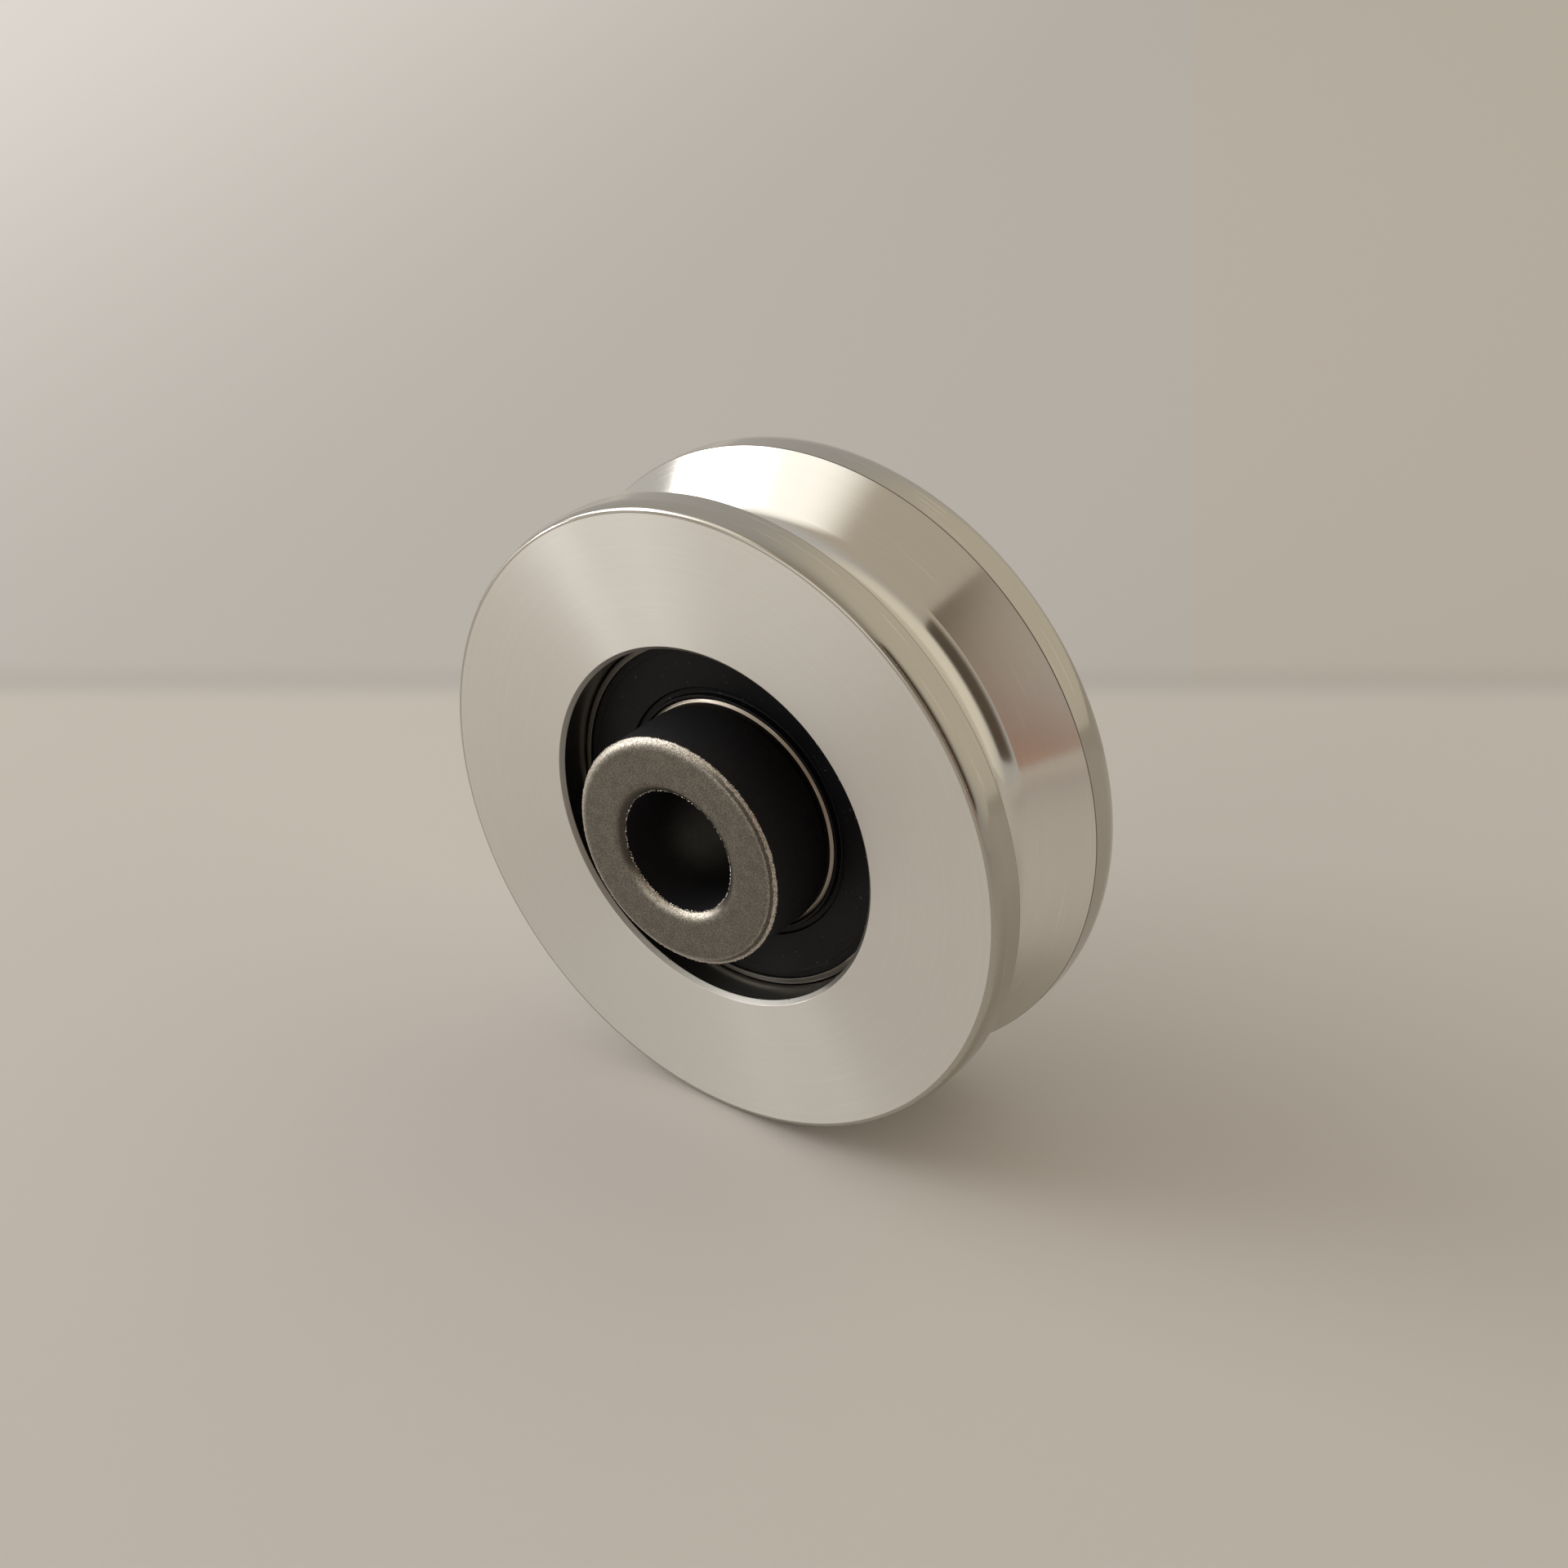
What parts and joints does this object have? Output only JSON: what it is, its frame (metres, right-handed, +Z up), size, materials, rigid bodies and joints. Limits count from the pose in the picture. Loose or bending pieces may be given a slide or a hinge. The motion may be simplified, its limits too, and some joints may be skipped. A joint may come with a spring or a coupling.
{
  "type": "pulley",
  "caption": "V-groove aluminium pulley wheel turning on a sealed ball bearing, with a steel bush on each side of the bearing for an axle bolt.",
  "frame": {"origin": "the wheel's centre, on the axle line, midway between the wheel's two faces", "axes": "+Y along the axle, from the front face to the back; +Z up; the front faces -Y"},
  "size_m": [0.062, 0.0296, 0.062],
  "materials": {
    "aluminium": "fine turned, with light scratches",
    "bearing_steel": "ground",
    "cage_steel": "pressed sheet",
    "seal_rubber": "matt moulded",
    "bush_steel": "black sides, worn bare and grainy on the end face"
  },
  "bodies": {
    "axle_set": {"front_bush": "bush_steel", "rear_bush": "bush_steel", "bearing_inner_ring": "bearing_steel"},
    "wheel": {"pulley_wheel": "aluminium", "bearing_outer_ring": "bearing_steel", "front_seal": "seal_rubber", "rear_seal": "seal_rubber"},
    "cage": {"front_cage_half": "cage_steel", "rear_cage_half": "cage_steel", "cage_rivets": "cage_steel"},
    "rolling_ball_1": {"ball_1": "bearing_steel"},
    "rolling_ball_2": {"ball_2": "bearing_steel"},
    "rolling_ball_3": {"ball_3": "bearing_steel"},
    "rolling_ball_4": {"ball_4": "bearing_steel"},
    "rolling_ball_5": {"ball_5": "bearing_steel"},
    "rolling_ball_6": {"ball_6": "bearing_steel"},
    "rolling_ball_7": {"ball_7": "bearing_steel"},
    "rolling_ball_8": {"ball_8": "bearing_steel"},
    "rolling_ball_9": {"ball_9": "bearing_steel"},
    "rolling_ball_10": {"ball_10": "bearing_steel"}
  },
  "joints": [
    {"name": "wheel_spin", "type": "hinge", "parent": "axle_set", "child": "wheel", "pos_m": [0, 0, 0], "axis": [0, 1, 0], "continuous": true},
    {"name": "cage_spin", "type": "hinge", "parent": "axle_set", "child": "cage", "pos_m": [0, -0.0014, 0], "axis": [0, 1, 0], "continuous": true},
    {"name": "ball_1_roll", "type": "hinge", "parent": "cage", "child": "rolling_ball_1", "pos_m": [0, -0.0014, 0.013], "axis": [0, 1, 0], "continuous": true},
    {"name": "ball_2_roll", "type": "hinge", "parent": "cage", "child": "rolling_ball_2", "pos_m": [0.00764, -0.0014, 0.01052], "axis": [0, 1, 0], "continuous": true},
    {"name": "ball_3_roll", "type": "hinge", "parent": "cage", "child": "rolling_ball_3", "pos_m": [0.01236, -0.0014, 0.00402], "axis": [0, 1, 0], "continuous": true},
    {"name": "ball_4_roll", "type": "hinge", "parent": "cage", "child": "rolling_ball_4", "pos_m": [0.01236, -0.0014, -0.00402], "axis": [0, 1, 0], "continuous": true},
    {"name": "ball_5_roll", "type": "hinge", "parent": "cage", "child": "rolling_ball_5", "pos_m": [0.00764, -0.0014, -0.01052], "axis": [0, 1, 0], "continuous": true},
    {"name": "ball_6_roll", "type": "hinge", "parent": "cage", "child": "rolling_ball_6", "pos_m": [0, -0.0014, -0.013], "axis": [0, 1, 0], "continuous": true},
    {"name": "ball_7_roll", "type": "hinge", "parent": "cage", "child": "rolling_ball_7", "pos_m": [-0.00764, -0.0014, -0.01052], "axis": [0, 1, 0], "continuous": true},
    {"name": "ball_8_roll", "type": "hinge", "parent": "cage", "child": "rolling_ball_8", "pos_m": [-0.01236, -0.0014, -0.00402], "axis": [0, 1, 0], "continuous": true},
    {"name": "ball_9_roll", "type": "hinge", "parent": "cage", "child": "rolling_ball_9", "pos_m": [-0.01236, -0.0014, 0.00402], "axis": [0, 1, 0], "continuous": true},
    {"name": "ball_10_roll", "type": "hinge", "parent": "cage", "child": "rolling_ball_10", "pos_m": [-0.00764, -0.0014, 0.01052], "axis": [0, 1, 0], "continuous": true}
  ],
  "couplings": [
    {"joint": "cage_spin", "follows": "wheel_spin", "ratio": 0.59135},
    {"joint": "ball_1_roll", "follows": "wheel_spin", "ratio": 2.6455},
    {"joint": "ball_2_roll", "follows": "wheel_spin", "ratio": 2.6455},
    {"joint": "ball_3_roll", "follows": "wheel_spin", "ratio": 2.6455},
    {"joint": "ball_4_roll", "follows": "wheel_spin", "ratio": 2.6455},
    {"joint": "ball_5_roll", "follows": "wheel_spin", "ratio": 2.6455},
    {"joint": "ball_6_roll", "follows": "wheel_spin", "ratio": 2.6455},
    {"joint": "ball_7_roll", "follows": "wheel_spin", "ratio": 2.6455},
    {"joint": "ball_8_roll", "follows": "wheel_spin", "ratio": 2.6455},
    {"joint": "ball_9_roll", "follows": "wheel_spin", "ratio": 2.6455},
    {"joint": "ball_10_roll", "follows": "wheel_spin", "ratio": 2.6455}
  ]
}
